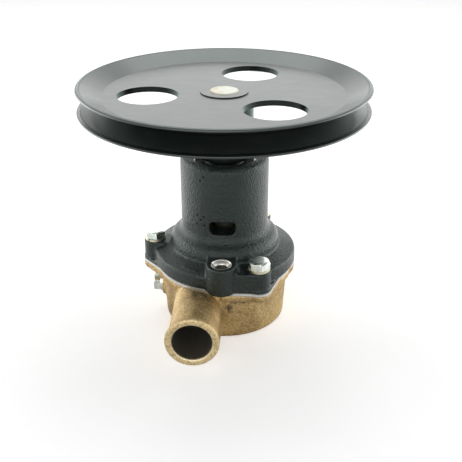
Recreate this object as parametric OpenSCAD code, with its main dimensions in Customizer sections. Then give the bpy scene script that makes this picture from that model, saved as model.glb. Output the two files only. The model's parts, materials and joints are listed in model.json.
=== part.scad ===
// Belt-driven flexible impeller pump, standing on the closed end of its bronze body.
// All lengths are millimetres. Z runs up the shaft, Z = 0 is the flat end of the body,
// the front hose port points along -Y and the cam lies on the -X side.

/* [Pulley] */
// Outside diameter of the belt pulley
pulley_d = 190; // [170:1:210]
// Distance from the lower rim face to the upper rim face
pulley_w = 17.2; // [15:0.1:20]
// Thickness of each pressed sheet
sheet_t = 1.8; // [1.5:0.1:2.2]
// Radius at which the flat web turns into the flaring wall
web_r = 79; // [76:0.5:82]
// Width of the flat lip at each rim
lip_w = 2.5; // [2:0.1:4]
// Bend radius on the inside of each fold of the sheet
bend_r = 1.6; // [1:0.1:2.5]
// Radius of the three big holes in the web
web_hole_r = 20; // [15:0.5:22]
// Radius of the circle that carries the three big holes
web_hole_circle_r = 49.5; // [46:0.5:52]
// Turn of the first big hole about the shaft
web_hole_turn = 71.5; // [0:0.5:120]

/* [Hub and shaft] */
// Radius of the pulley hub under the web
hub_r = 19.3; // [17:0.1:22]
// Radius of the hub spigot that passes through the web
spigot_r = 15.7; // [13:0.1:17]
// Height of the spigot's face above the web
spigot_rise = 0.7; // [0.3:0.1:1.5]
// Radius of the nose that bears on the upper bearing's inner ring
hub_nose_r = 13; // [12:0.1:13.8]
// Radius of the shaft where it carries the pulley
shaft_pulley_r = 9.525; // [8.5:0.025:9.8]
// Radius of the shaft in the bearings
shaft_bearing_r = 10; // [9.9:0.05:10.5]
// Radius of the shaft in the seal and the impeller
shaft_wet_r = 8; // [7:0.1:8.8]
// Height of the shaft's end above the web
shaft_rise = 1.3; // [0.8:0.1:3]
// Chamfer on the ends of the shaft
shaft_chamfer = 0.6; // [0.2:0.1:1]

/* [Bearings] */
// Outside radius of both ball bearings
bearing_r = 23.5; // [22.5:0.1:24]
// Width of each ball bearing
bearing_w = 14; // [12:0.5:16]
// Radius of a bearing ball
ball_r = 3.97; // [3.4:0.01:4.1]
// Radius of the circle on which the balls run
ball_circle_r = 16.75; // [16.5:0.05:17]
// Number of balls in each bearing
ball_count = 8; // [6:1:9]
// Length of the spacers between the two bearings
spacer_l = 3.5; // [2:0.1:6]
// Thickness of the circlips
circlip_t = 1.2; // [1:0.1:1.6]

/* [Bearing pedestal] */
// Radius of the column
column_r = 30; // [28.5:0.1:33]
// Height of the pedestal from its joint face to its top
pedestal_h = 79.5; // [76:0.5:90]
// Rounding of the column's top edge
column_round = 4.5; // [1:0.1:6]
// Radius of the bell at the foot of the column
bell_r = 38; // [36:0.5:39]
// Radius of the bell's rounded shoulder
shoulder_r = 10; // [8:0.5:12]
// Radius of the hollow between the shoulder and the column
neck_fillet_r = 7.5; // [4:0.5:9]
// Height of the bell's lower edge above the joint face
bell_h = 14.8; // [13.6:0.1:16]
// Radius of the round flange
disc_r = 49.5; // [48:0.5:51]
// Height of the flange's rounded edge above the joint face
disc_h = 11.3; // [9.5:0.1:12]
// Radius that rounds the flange's edge
disc_round = 2; // [1:0.5:4]
// Thickness of the thin plate under the flange, which follows the gasket
foot_plate_t = 2; // [1.5:0.1:3]
// Height of the bolt lugs above the joint face
lug_h = 14.4; // [13:0.1:15.5]
// Radius of the bolt lugs
lug_r = 7.8; // [7.4:0.1:8.6]
// Radius of the hollow corners beside the lugs and bosses
corner_r = 3; // [1:0.5:4]
// Width of the drain slot
slot_w = 17; // [12:0.5:20]
// Height of the drain slot
slot_h = 9; // [6:0.5:10]
// Height of the middle of the drain slot above the joint face
slot_z = 37; // [35.5:0.5:38]
// Radius of the drain slot's corners
slot_round = 3; // [1:0.5:3]

/* [Mounting bosses] */
// Distance of each threaded mounting hole from the shaft's axis
boss_y = 46; // [45:0.5:48]
// Radius of each mounting boss
boss_r = 10; // [9:0.5:11]
// Height of the mounting bosses above the joint face
boss_h = 19.5; // [18:0.5:21]
// Radius of each threaded mounting hole
thread_r = 4.25; // [3.3:0.05:5]
// Depth of each threaded mounting hole
thread_depth = 15; // [10:0.5:16]
// Radius of the countersink at each mounting hole
countersink_r = 6.7; // [6:0.1:7.5]
// Depth of the countersink
countersink_depth = 2.3; // [1.5:0.1:3]

/* [Flange bolts] */
// Radius of the circle that carries the three flange bolts
bolt_circle_r = 49.5; // [49:0.1:50.5]
// Shank radius of the hexagon bolts
bolt_r = 4; // [3:0.1:4.2]
// Width across the flats of the hexagon heads
hex_af = 13; // [12:0.1:13.4]
// Turn of each flange bolt's head
hex_turn = 15; // [0:1:60]
// Height of the hexagon heads
hex_h = 5; // [4:0.1:6]
// Outside radius of the lock washers
washer_r = 7.2; // [6.6:0.1:7.5]
// Thickness of the lock washers
washer_t = 2; // [1.2:0.1:2.4]
// Length of the flange bolts under the head
bolt_l = 25; // [24:0.5:28]

/* [Joint outline] */
// Radius of the round part of the joint outline
joint_r = 47.5; // [47:0.1:49]
// Radius of the joint outline round each bolt
joint_lug_r = 8.3; // [8:0.1:9.5]
// Angle from each bolt at which its lug runs into the round outline
lug_root_angle = 24; // [20:0.5:30]
// Reach of the straight stretch between each mounting boss and the lug beside it
bridge_y = 50.2; // [49.5:0.1:50.6]
// Reach of the flat lobe opposite the cam
lobe_reach = 49.5; // [49:0.1:51]
// Radius of the flat lobe opposite the cam
lobe_r = 20; // [16:1:24]
// Thickness of each gasket
gasket_t = 0.5; // [0.3:0.1:0.8]
// Thickness of the wear plate
wear_plate_t = 1; // [0.8:0.1:1.5]

/* [Pump body] */
// Height of the body from its flat end to its joint face
body_h = 38; // [37.5:0.5:42]
// Radius of the cup at its flat end
cup_foot_r = 42.5; // [42:0.1:44]
// Radius of the cup under its flange
cup_top_r = 44.1; // [43:0.1:46]
// Rounding of the cup's lower edge
cup_round = 1.6; // [0.5:0.1:3]
// Thickness of the body's flange
body_flange_t = 4.5; // [4:0.1:7]
// Thickness of the cup's closed end
cup_floor_t = 7; // [5:0.1:8]
// Radius of the impeller chamber
chamber_r = 37; // [36:0.1:37.5]

/* [Hose ports] */
// Distance of the ports' axis from the shaft's axis
port_x = 16.65; // [16:0.05:17.5]
// Depth of the ports' axis below the body's joint face
port_drop = 13.8; // [13.4:0.1:14]
// Distance of each port's face from the shaft's axis
port_reach = 85.6; // [80:0.1:90]
// Radius of the hose tube
tube_r = 16; // [15.5:0.1:16.5]
// Radius of the bead at the tube's end
bead_r = 17.6; // [17:0.1:18]
// Width of the bead
bead_w = 4.5; // [3:0.1:6]
// Radius of the port's bore
port_bore_r = 12.8; // [12:0.1:13.2]
// Chamfer at the mouth of the bore
mouth_chamfer = 0.8; // [0.4:0.1:1.5]
// Radius of the window between the bore and the chamber
window_r = 11.6; // [10:0.1:11.9]
// Distance from the shaft's axis to the front of the casting round each port
chest_reach = 57; // [54:0.5:62]
// Height of the underside of the casting round each port
chest_z = 3; // [1.5:0.5:5]

/* [Cam] */
// Depth of the cam screw's axis below the body's joint face
cam_drop = 18.4; // [17:0.1:19]
// Thickness of the cam at its middle
cam_t = 5.5; // [4:0.1:6.5]
// Half of the angle at which the cam's face meets the chamber wall
cam_half_angle = 40; // [34:0.5:41]
// Half of the angle that the cam's metal spans
cam_end_angle = 37; // [30:0.5:39]
// Radius of the round pad under the cam screw
cam_pad_r = 9.5; // [8.5:0.1:10.5]
// Distance of the pad's face from the shaft's axis
cam_pad_x = 45; // [44.6:0.1:46]
// Thickness of the washer under the cam screw
cam_washer_t = 1.5; // [1:0.1:2]

/* [Impeller] */
// Number of impeller blades
blade_count = 8; // [6:1:10]
// Thickness of a blade at its root
blade_root_t = 4.4; // [3.6:0.1:5]
// Thickness of a blade at its middle and neck
blade_neck_t = 2.8; // [2.2:0.1:3.4]
// Radius of the round bead on each blade's tip
blade_bead_r = 2.4; // [2:0.1:2.8]
// Radius of the rubber hub
rubber_hub_r = 16.5; // [15:0.1:18]
// Radius of the metal insert in the rubber hub
insert_r = 12; // [11:0.1:12.5]
// Backward lean of a free blade's tip, in degrees
blade_lean = 9; // [4:0.5:14]
// Width of the square drive key
key_w = 4; // [3:0.1:4.5]
// Length of the drive key
key_l = 20; // [14:0.5:24]

/* [Shaft seal] */
// Outside radius of the shaft seal
seal_r = 15; // [14:0.1:16]
// Height of the shaft seal
seal_h = 8; // [7:0.1:8.6]
// Wall thickness of the seal's metal case
seal_case_t = 1.2; // [0.8:0.1:1.5]
// Wire radius of the seal's garter spring
garter_r = 0.7; // [0.5:0.05:0.8]
// Outside radius of the rubber slinger
slinger_r = 14; // [12:0.1:15]
// Thickness of the rubber slinger
slinger_t = 3; // [2:0.1:4]

/* [Hidden] */
$fn = 96;

// Clearances and overruns
fit = 0.02;             // pieces pressed or pushed together
run_fit = 0.05;         // round pieces that turn on each other
side_gap = 0.2;         // impeller to the end walls of its chamber
tip_gap = 0.35;         // blade tips to the chamber and the cam
clear_gap = 0.5;        // bolt shanks and other loose holes
sink = 0.2;             // cast features that run into a bigger one
cut = 1;                // overrun of every cut past its surface
bolt_turns = [180, -60, 60];

// Colours
black_paint = [0.16, 0.19, 0.18];
black_sheet = [0.20, 0.22, 0.21];
bronze = [0.66, 0.55, 0.38];
zinc = [0.78, 0.80, 0.78];
steel = [0.72, 0.72, 0.70];
rubber = [0.09, 0.09, 0.10];
paper = [0.86, 0.86, 0.82];
brass = [0.78, 0.66, 0.36];

// Heights of the stack above the flat end of the body
port_z = body_h - port_drop;
cam_z = body_h - cam_drop;
wear_plate_z = body_h + gasket_t;
pedestal_z = wear_plate_z + wear_plate_t + gasket_t;
pedestal_top = pedestal_z + pedestal_h;
circlip_depth = 3;      // seat of the upper bearing below the circlip and the column's top edge
upper_bearing_z = pedestal_top - circlip_depth - circlip_t + fit - bearing_w;
lower_bearing_z = upper_bearing_z - spacer_l - bearing_w;
upper_bearing_top = upper_bearing_z + bearing_w;
hub_gap = 0.5;          // underside of the hub above the column's top
hub_z = pedestal_top - hub_gap;
pulley_lift = 31.7;     // column's top to the lower rim
pulley_mid = pedestal_top + pulley_lift + pulley_w / 2;
web_top = pulley_mid + sheet_t;
pulley_r = pulley_d / 2;

// Inner sizes of the pedestal
seal_bore_depth = 9.5;
seal_z = pedestal_z + seal_bore_depth - seal_h;
cavity_r = 17;
cavity_z = pedestal_z + seal_bore_depth + 3 * gasket_t;
shoulder_bore_r = 20.2;
shoulder_t = 3;
seal_land_r = 12;
shaft_step_z = lower_bearing_z - shoulder_t - circlip_t;
shaft_foot_gap = 1.5;
shaft_foot = cup_floor_t + shaft_foot_gap;
circlip_bite = 1;       // depth of both circlip grooves
circlip_w = 3.4;        // radial width of both circlips

// Bearing section
groove_r = ball_r + 2 * run_fit;
inner_ring_r = ball_circle_r - 0.64 * ball_r;
outer_ring_bore_r = ball_circle_r + 0.64 * ball_r;
shield_t = 0.8;
shield_depth = 1.2;
shield_lip = 0.7;
cage_w = 2.3;
cage_h = 2 * ball_r + 1.6;

// Bell profile, tangent arcs from the shoulder to the column
bell_arc_z = bell_h + bell_h / 9;
bell_arc_x = bell_r - shoulder_r;
fillet_x = column_r + neck_fillet_r;
fillet_z = bell_arc_z + sqrt(pow(shoulder_r + neck_fillet_r, 2) - pow(fillet_x - bell_arc_x, 2));
tangent_angle = acos((fillet_x - bell_arc_x) / (shoulder_r + neck_fillet_r));

// Hexagon heads
hex_r = hex_af / 2 / cos(30);

// Cam face, a circle whose centre lies towards +X
cam_face_r0 = chamber_r - cam_t;
cam_end_x = chamber_r * cos(cam_half_angle);
cam_end_y = chamber_r * sin(cam_half_angle);
cam_centre = (pow(cam_end_x, 2) + pow(cam_end_y, 2) - pow(cam_face_r0, 2))
    / (2 * (cam_face_r0 - cam_end_x));
cam_face_r = cam_face_r0 + cam_centre;

function arc(cx, cy, r, a0, a1, n) = [for (i = [0:n]) let (a = a0 + (a1 - a0) * i / n)
    [cx + r * cos(a), cy + r * sin(a)]];

module ring(r_out, r_in, h) {
    difference() {
        cylinder(r = r_out, h = h);
        translate([0, 0, -cut]) cylinder(r = r_in, h = h + 2 * cut);
    }
}

// Joint face: a round outline with three lugs on tangent lines and one lobe

module lug_outline(turn, base_r, round_r) {
    root = [base_r * cos(lug_root_angle), base_r * sin(lug_root_angle)];
    away = norm(root - [bolt_circle_r, 0]);
    tip_angle = atan2(root[1], root[0] - bolt_circle_r) - acos(round_r / away);
    tip = [bolt_circle_r + round_r * cos(tip_angle), round_r * sin(tip_angle)];
    rotate(turn) {
        translate([bolt_circle_r, 0]) circle(r = round_r);
        polygon([[0, 0], [root[0], -root[1]], [tip[0], -tip[1]], tip, root]);
    }
}

module joint_outline() {
    circle(r = joint_r);
    for (turn = bolt_turns) lug_outline(turn, joint_r, joint_lug_r);
    translate([lobe_reach - lobe_r, 0]) circle(r = lobe_r);
    translate([0, -bridge_y]) square([bolt_circle_r * cos(60), 2 * bridge_y]);
}

module at_bolts() {
    for (turn = bolt_turns) rotate(turn) translate([bolt_circle_r, 0, 0]) children();
}

module joint_sheet(t, inner_r) {
    difference() {
        linear_extrude(height = t) joint_outline();
        translate([0, 0, -cut]) cylinder(r = inner_r, h = t + 2 * cut);
        at_bolts() translate([0, 0, -cut]) cylinder(r = bolt_r + clear_gap, h = t + 2 * cut);
    }
}

module body_gasket() {
    color(paper) translate([0, 0, body_h]) joint_sheet(gasket_t, chamber_r + clear_gap);
}

module wear_plate() {
    color(steel) translate([0, 0, wear_plate_z]) joint_sheet(wear_plate_t, shaft_wet_r + clear_gap);
}

module pedestal_gasket() {
    color(paper) translate([0, 0, wear_plate_z + wear_plate_t]) joint_sheet(gasket_t, seal_r + clear_gap);
}

// Pump body: a closed bronze cup with two hose ports in one line

cup_wall_z = body_h - body_flange_t;

module cup() {
    flare = joint_r - cup_top_r;
    rotate_extrude()
        polygon(concat([[0, 0]],
            arc(cup_foot_r - cup_round, cup_round, cup_round, -90, 0, 6),
            [[cup_top_r, cup_wall_z - flare], [joint_r, cup_wall_z], [0, cup_wall_z]]));
    translate([0, 0, cup_wall_z]) linear_extrude(height = body_flange_t) joint_outline();
}

// One port, pointing along -Y: tube, bead and the chest of metal round it
module port_metal() {
    bead_round = (bead_r - tube_r) / 2;
    translate([-port_x, 0, port_z]) rotate([90, 0, 0]) {
        cylinder(r = tube_r, h = port_reach - bead_w / 2);
        translate([0, 0, port_reach - bead_w]) rotate_extrude()
            polygon([[0, 0], [tube_r, 0], [bead_r, bead_round * 2], [bead_r, bead_w - bead_round],
                [bead_r - bead_round, bead_w], [0, bead_w]]);
    }
    chest_round = tube_r - (port_z - chest_z) / 2;
    translate([-port_x - tube_r, -chest_reach + chest_round, chest_z])
        cube([2 * tube_r, chest_reach - chest_round, port_z - chest_z]);
    for (side = [-1, 1])
        translate([-port_x + side * (tube_r - chest_round), -chest_reach + chest_round, chest_z])
            cylinder(r = chest_round, h = port_z - chest_z);
    translate([-port_x - tube_r + chest_round, -chest_reach, chest_z])
        cube([2 * (tube_r - chest_round), chest_round, port_z - chest_z]);
}

module port_bore() {
    translate([-port_x, 0, port_z]) rotate([90, 0, 0]) {
        cylinder(r = window_r, h = port_reach);
        translate([0, 0, joint_r]) cylinder(r = port_bore_r, h = port_reach);
        translate([0, 0, port_reach - mouth_chamfer])
            cylinder(r1 = port_bore_r, r2 = port_bore_r + mouth_chamfer + cut, h = mouth_chamfer + cut);
    }
}

module pump_body() {
    saddle_r = boss_y + boss_r + clear_gap;
    color(bronze) difference() {
        union() {
            cup();
            port_metal();
            mirror([0, 1, 0]) port_metal();
            translate([-cam_pad_x, 0, cam_z]) rotate([0, 90, 0]) cylinder(r = cam_pad_r, h = cam_pad_x);
        }
        // the ports stay below the joint face under the pedestal
        translate([0, 0, body_h]) cylinder(r1 = joint_r, r2 = saddle_r, h = tube_r / 4);
        translate([0, 0, body_h + tube_r / 4]) cylinder(r = saddle_r, h = tube_r);
        translate([0, 0, cup_floor_t]) cylinder(r = chamber_r, h = body_h);
        port_bore();
        mirror([0, 1, 0]) port_bore();
        translate([-cam_pad_x - cut, 0, cam_z]) rotate([0, 90, 0])
            cylinder(r = bolt_r + fit, h = cam_pad_x);
        at_bolts() translate([0, 0, cup_wall_z - cut])
            cylinder(r = bolt_r + fit, h = body_flange_t + 2 * cut);
    }
}

// Cam: the crescent that squeezes the blades between the two ports

module cam() {
    color(brass) difference() {
        translate([0, 0, cup_floor_t + fit]) linear_extrude(height = body_h + gasket_t - cup_floor_t - 2 * fit)
            difference() {
                circle(r = chamber_r - fit);
                translate([cam_centre, 0]) circle(r = cam_face_r);
                translate([-chamber_r * cos(cam_end_angle), -chamber_r])
                    square([2 * chamber_r, 2 * chamber_r]);
            }
        translate([-chamber_r - cut, 0, cam_z]) rotate([0, 90, 0])
            cylinder(r = bolt_r + fit, h = cut + cam_t - cam_web);
    }
}

module hex_head() {
    chamfer_h = hex_h / 5;
    intersection() {
        cylinder(r = hex_r, h = hex_h, $fn = 6);
        union() {
            cylinder(r = hex_r, h = hex_h - chamfer_h);
            translate([0, 0, hex_h - chamfer_h])
                cylinder(r1 = hex_r, r2 = hex_af / 2 - chamfer_h / 4, h = chamfer_h);
        }
    }
}

cam_web = cam_t / 5;
cam_screw_reach = cam_pad_x - cam_face_r0 - 2 * cam_web;

module cam_screw() {
    color(zinc) translate([-cam_pad_x - cam_washer_t, 0, cam_z]) rotate([0, -90, 0]) hex_head();
    color(zinc) translate([-cam_pad_x - cam_washer_t, 0, cam_z]) rotate([0, 90, 0])
        cylinder(r = bolt_r, h = cam_washer_t + cam_screw_reach);
}

module cam_screw_washer() {
    color(zinc) translate([-cam_pad_x - cam_washer_t, 0, cam_z]) rotate([0, 90, 0])
        ring(hex_r, bolt_r + fit, cam_washer_t);
}

// Bearing pedestal: cast iron column, bell and flange

module pedestal_profile() {
    groove = bell_h / 30;
    polygon(concat(
        [[0, foot_plate_t], [disc_r, foot_plate_t]],
        arc(disc_r - disc_round, disc_h - disc_round, disc_round, 0, 70, 6),
        [[bell_r + 2 * groove, bell_h - groove], [bell_r - groove, bell_h - groove],
            [bell_r - groove, bell_h], [bell_r, bell_h + groove]],
        arc(bell_arc_x, bell_arc_z, shoulder_r, 0, tangent_angle, 10),
        arc(fillet_x, fillet_z, neck_fillet_r, 180 + tangent_angle, 180, 8),
        arc(column_r - column_round, pedestal_h - column_round, column_round, 0, 90, 6),
        [[0, pedestal_h]]));
}

// Hollow corners where a round boss of radius r, x out from the axis, stands against the disc
module corner_fillets(r, x, h) {
    reach = disc_r + corner_r;
    fx = (pow(reach, 2) - pow(r + corner_r, 2) + pow(x, 2)) / (2 * x);
    fy = sqrt(pow(reach, 2) - pow(fx, 2));
    share = r / (r + corner_r);
    for (side = [0, 1]) mirror([0, side, 0]) difference() {
        linear_extrude(height = h)
            polygon([[x - r, 0], [x + (fx - x) * share, fy * share], [fx, fy],
                [fx * disc_r / reach, fy * disc_r / reach]]);
        translate([fx, fy, -cut]) cylinder(r = corner_r + sink, h = h + 2 * cut);
    }
}

// Block that joins a mounting boss to the bolt lug beside it, with its pocket
module boss_shelf() {
    lug_x = bolt_circle_r * cos(60);
    front_y = bolt_circle_r * sin(60) + lug_r - sink;
    pocket_w = lug_x - lug_r - boss_r - 2 * clear_gap;
    pocket_depth = lug_h / 4;
    difference() {
        translate([0, -front_y, 0]) cube([lug_x, front_y - column_r, lug_h - sink]);
        translate([boss_r + 2 * clear_gap, -front_y + 2 * clear_gap, lug_h - pocket_depth])
            cube([pocket_w, lug_r * 2, pocket_depth + cut]);
    }
}

module bearing_pedestal() {
    bore_z = lower_bearing_z - pedestal_z;
    color(black_paint) translate([0, 0, pedestal_z]) difference() {
        union() {
            rotate_extrude() pedestal_profile();
            linear_extrude(height = foot_plate_t) joint_outline();
            for (turn = bolt_turns) rotate(turn) {
                corner_fillets(lug_r, bolt_circle_r, disc_h - disc_round - sink);
                translate([bolt_circle_r, 0, 0]) cylinder(r = lug_r, h = lug_h);
                translate([column_r, -lug_r, 0]) cube([bolt_circle_r - column_r, 2 * lug_r, lug_h]);
            }
            for (side = [0, 1]) mirror([0, side, 0]) {
                rotate(-90) corner_fillets(boss_r, boss_y, disc_h - disc_round - sink);
                translate([0, -boss_y, 0]) cylinder(r = boss_r, h = boss_h);
                translate([-boss_r, -boss_y, 0]) cube([2 * boss_r, boss_y - column_r, boss_h]);
                boss_shelf();
            }
        }
        // seal bore, water cavity, shoulder and bearing bore
        translate([0, 0, -cut]) cylinder(r = seal_r + fit, h = seal_bore_depth + cut);
        translate([0, 0, -cut]) cylinder(r = seal_land_r, h = pedestal_h);
        translate([0, 0, cavity_z - pedestal_z]) cylinder(r = cavity_r, h = bore_z);
        translate([0, 0, bore_z - shoulder_t]) cylinder(r = shoulder_bore_r, h = pedestal_h);
        translate([0, 0, bore_z]) cylinder(r = bearing_r + fit, h = pedestal_h);
        translate([0, 0, upper_bearing_top - pedestal_z - fit])
            cylinder(r = bearing_r + circlip_bite + fit, h = circlip_t + 2 * fit);
        // drain slot towards -Y
        translate([0, 0, slot_z]) rotate([90, 0, 0]) {
            linear_extrude(height = column_r + cut) {
                square([slot_w - 2 * slot_round, slot_h], center = true);
                square([slot_w, slot_h - 2 * slot_round], center = true);
                for (sx = [-1, 1], sy = [-1, 1])
                    translate([sx * (slot_w / 2 - slot_round), sy * (slot_h / 2 - slot_round)])
                        circle(r = slot_round);
            }
        }
        // mounting holes and bolt holes
        for (side = [-1, 1]) translate([0, side * boss_y, boss_h]) {
            translate([0, 0, -thread_depth]) cylinder(r = thread_r, h = thread_depth + cut);
            translate([0, 0, -countersink_depth])
                cylinder(r1 = thread_r, r2 = countersink_r, h = countersink_depth + fit);
        }
        at_bolts() translate([0, 0, -cut]) cylinder(r = bolt_r + clear_gap, h = lug_h + 2 * cut);
    }
}

// Fasteners

module flange_bolts() {
    color(zinc) for (turn = bolt_turns) rotate(turn)
        translate([bolt_circle_r, 0, pedestal_z + lug_h + washer_t]) {
            rotate(-hex_turn) hex_head();
            translate([0, 0, -bolt_l]) cylinder(r = bolt_r, h = bolt_l);
        }
}

module lock_washers() {
    color(steel) at_bolts() translate([0, 0, pedestal_z + lug_h]) difference() {
        ring(washer_r, bolt_r + fit, washer_t);
        rotate(-40) translate([bolt_r - cut, -clear_gap / 2, -cut])
            cube([washer_r, clear_gap, washer_t + 2 * cut]);
    }
}

// Shaft seal: case, lip and garter spring

lip_r = shaft_wet_r + run_fit;
lip_root_r = seal_r - seal_case_t;
garter_x = lip_r + 2.6 * garter_r;
garter_z = 3 * garter_r;

module seal_case() {
    color(steel) translate([0, 0, seal_z]) {
        ring(seal_r, lip_root_r, seal_h);
        translate([0, 0, seal_h - seal_case_t]) ring(lip_root_r, garter_x, seal_case_t);
    }
}

module seal_lip() {
    shelf_z = seal_h - seal_case_t;
    lip_back_r = lip_r + garter_r;
    color(rubber) translate([0, 0, seal_z]) rotate_extrude() difference() {
        polygon([[lip_r, garter_z], [lip_back_r, garter_z - 2 * garter_r], [garter_x, garter_z - 2 * garter_r],
            [garter_x, shelf_z - 2 * seal_case_t], [lip_root_r, shelf_z - 2 * seal_case_t],
            [lip_root_r, shelf_z], [lip_back_r, shelf_z]]);
        translate([garter_x, garter_z]) circle(r = garter_r + fit, $fn = 32);
    }
}

module seal_spring() {
    color(steel) translate([0, 0, seal_z + garter_z])
        rotate_extrude() translate([garter_x, 0]) circle(r = garter_r, $fn = 32);
}

// Ball bearings

module inner_ring() {
    color(steel) rotate_extrude() difference() {
        translate([shaft_bearing_r + fit, 0]) square([inner_ring_r - shaft_bearing_r - fit, bearing_w]);
        translate([ball_circle_r, bearing_w / 2]) circle(r = groove_r);
    }
}

module outer_ring() {
    color(steel) rotate_extrude() difference() {
        translate([outer_ring_bore_r, 0]) square([bearing_r - outer_ring_bore_r, bearing_w]);
        translate([ball_circle_r, bearing_w / 2]) circle(r = groove_r);
        for (z = [-cut, bearing_w - shield_depth])
            translate([outer_ring_bore_r - cut, z]) square([shield_lip + cut, shield_depth + cut]);
    }
}

module balls() {
    color(steel) for (i = [0:ball_count - 1]) rotate(i * 360 / ball_count)
        translate([ball_circle_r, 0, bearing_w / 2]) sphere(r = ball_r, $fn = 48);
}

module cage() {
    color(brass) translate([0, 0, bearing_w / 2]) difference() {
        translate([0, 0, -cage_h / 2]) ring(ball_circle_r + cage_w / 2, ball_circle_r - cage_w / 2, cage_h);
        for (i = [0:ball_count - 1]) rotate(i * 360 / ball_count)
            rotate([0, 90, 0]) translate([0, 0, ball_circle_r - cage_w])
                cylinder(r = ball_r + 2 * run_fit, h = 2 * cage_w, $fn = 48);
    }
}

module shields() {
    color(rubber) for (z = [shield_depth - shield_t, bearing_w - shield_depth])
        translate([0, 0, z]) ring(outer_ring_bore_r + shield_lip - fit, inner_ring_r + 3 * run_fit, shield_t);
}

module lower_bearing_inner_ring() { translate([0, 0, lower_bearing_z]) inner_ring(); }

module upper_bearing_inner_ring() { translate([0, 0, upper_bearing_z]) inner_ring(); }

module lower_bearing_outer_ring() { translate([0, 0, lower_bearing_z]) outer_ring(); }

module upper_bearing_outer_ring() { translate([0, 0, upper_bearing_z]) outer_ring(); }

module lower_bearing_balls() { translate([0, 0, lower_bearing_z]) balls(); }

module upper_bearing_balls() { translate([0, 0, upper_bearing_z]) balls(); }

module lower_bearing_cage() { translate([0, 0, lower_bearing_z]) cage(); }

module upper_bearing_cage() { translate([0, 0, upper_bearing_z]) cage(); }

module bearing_shields() {
    for (z = [lower_bearing_z, upper_bearing_z]) translate([0, 0, z]) shields();
}

module outer_spacer() {
    color(steel) translate([0, 0, lower_bearing_z + bearing_w])
        ring(bearing_r, outer_ring_bore_r + shield_lip, spacer_l);
}

module inner_spacer() {
    color(steel) translate([0, 0, lower_bearing_z + bearing_w])
        ring(inner_ring_r - shield_lip, shaft_bearing_r + fit, spacer_l);
}

// An open ring: the ends stand apart by the gap's angle
module circlip(r_out, r_in, gap_angle) {
    reach = r_out + cut;
    difference() {
        ring(r_out, r_in, circlip_t);
        translate([0, 0, -cut]) linear_extrude(height = circlip_t + 2 * cut)
            polygon([[0, 0], [reach, -reach * tan(gap_angle / 2)], [reach, reach * tan(gap_angle / 2)]]);
    }
}

module bearing_circlip() {
    color(steel) translate([0, 0, upper_bearing_top])
        circlip(bearing_r + circlip_bite, bearing_r + circlip_bite - circlip_w, 30);
}

module shaft_circlip() {
    color(steel) translate([0, 0, lower_bearing_z - circlip_t])
        circlip(shaft_bearing_r - circlip_bite + circlip_w, shaft_bearing_r - circlip_bite + fit, 40);
}

// Shaft and what turns with it

module shaft() {
    groove_z = lower_bearing_z - circlip_t;
    color(steel) difference() {
        rotate_extrude() polygon([
            [0, shaft_foot], [shaft_wet_r - shaft_chamfer, shaft_foot], [shaft_wet_r, shaft_foot + shaft_chamfer],
            [shaft_wet_r, shaft_step_z], [shaft_bearing_r, shaft_step_z],
            [shaft_bearing_r, groove_z - fit], [shaft_bearing_r - circlip_bite, groove_z - fit],
            [shaft_bearing_r - circlip_bite, lower_bearing_z + fit], [shaft_bearing_r, lower_bearing_z + fit],
            [shaft_bearing_r, upper_bearing_top], [shaft_pulley_r, upper_bearing_top],
            [shaft_pulley_r, web_top + shaft_rise - shaft_chamfer],
            [shaft_pulley_r - shaft_chamfer, web_top + shaft_rise], [0, web_top + shaft_rise]]);
        key_slot(fit);
    }
}

module key_slot(gap) {
    key_z = cup_floor_t + (body_h - cup_floor_t - key_l) / 2;
    translate([shaft_wet_r - key_w / 2 - gap, -key_w / 2 - gap, key_z - gap])
        cube([key_w + 2 * gap, key_w + 2 * gap, key_l + 2 * gap]);
}

module drive_key() {
    color(steel) key_slot(0);
}

module slinger() {
    slinger_gap = 3 * cut;
    color(rubber) translate([0, 0, shaft_step_z - slinger_t - slinger_gap])
        ring(slinger_r, shaft_wet_r + fit, slinger_t);
}

module impeller_insert() {
    slot_l = body_h - cup_floor_t;
    color(brass) difference() {
        translate([0, 0, cup_floor_t + 2 * side_gap])
            ring(insert_r, shaft_wet_r + fit, slot_l + gasket_t - 4 * side_gap);
        translate([shaft_wet_r - cut, -key_w / 2 - fit, cup_floor_t])
            cube([cut + key_w / 2 + fit, key_w + 2 * fit, slot_l + cut]);
    }
}

// Distance from the axis to the chamber wall or the cam, in a direction
function wall_r(a) = let (side = cam_centre * sin(a))
    min(chamber_r, cam_centre * cos(a) + sqrt(pow(cam_face_r, 2) - pow(side, 2)));

module blade(turn) {
    steps = 8;
    squeeze_gain = 4.5; // degrees of extra lean for each millimetre that the cam takes
    lean = blade_lean + squeeze_gain * (chamber_r - wall_r(turn + blade_lean));
    tip_r = wall_r(turn + lean) - tip_gap - blade_bead_r;
    root_r = rubber_hub_r - blade_root_t / 2;
    axis_pt = [for (i = [0:steps]) let (s = i / steps, r = root_r + s * (tip_r - root_r),
        a = turn + lean * s * s) [r, a, (blade_neck_t + (blade_root_t - blade_neck_t) * pow(1 - s, 2)) / 2]];
    polygon(concat(
        [for (p = axis_pt) [p[0] * cos(p[1]) + p[2] * sin(p[1]), p[0] * sin(p[1]) - p[2] * cos(p[1])]],
        [for (i = [0:steps]) let (p = axis_pt[steps - i])
            [p[0] * cos(p[1]) - p[2] * sin(p[1]), p[0] * sin(p[1]) + p[2] * cos(p[1])]]));
    translate([tip_r * cos(turn + lean), tip_r * sin(turn + lean)]) circle(r = blade_bead_r, $fn = 32);
}

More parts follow.
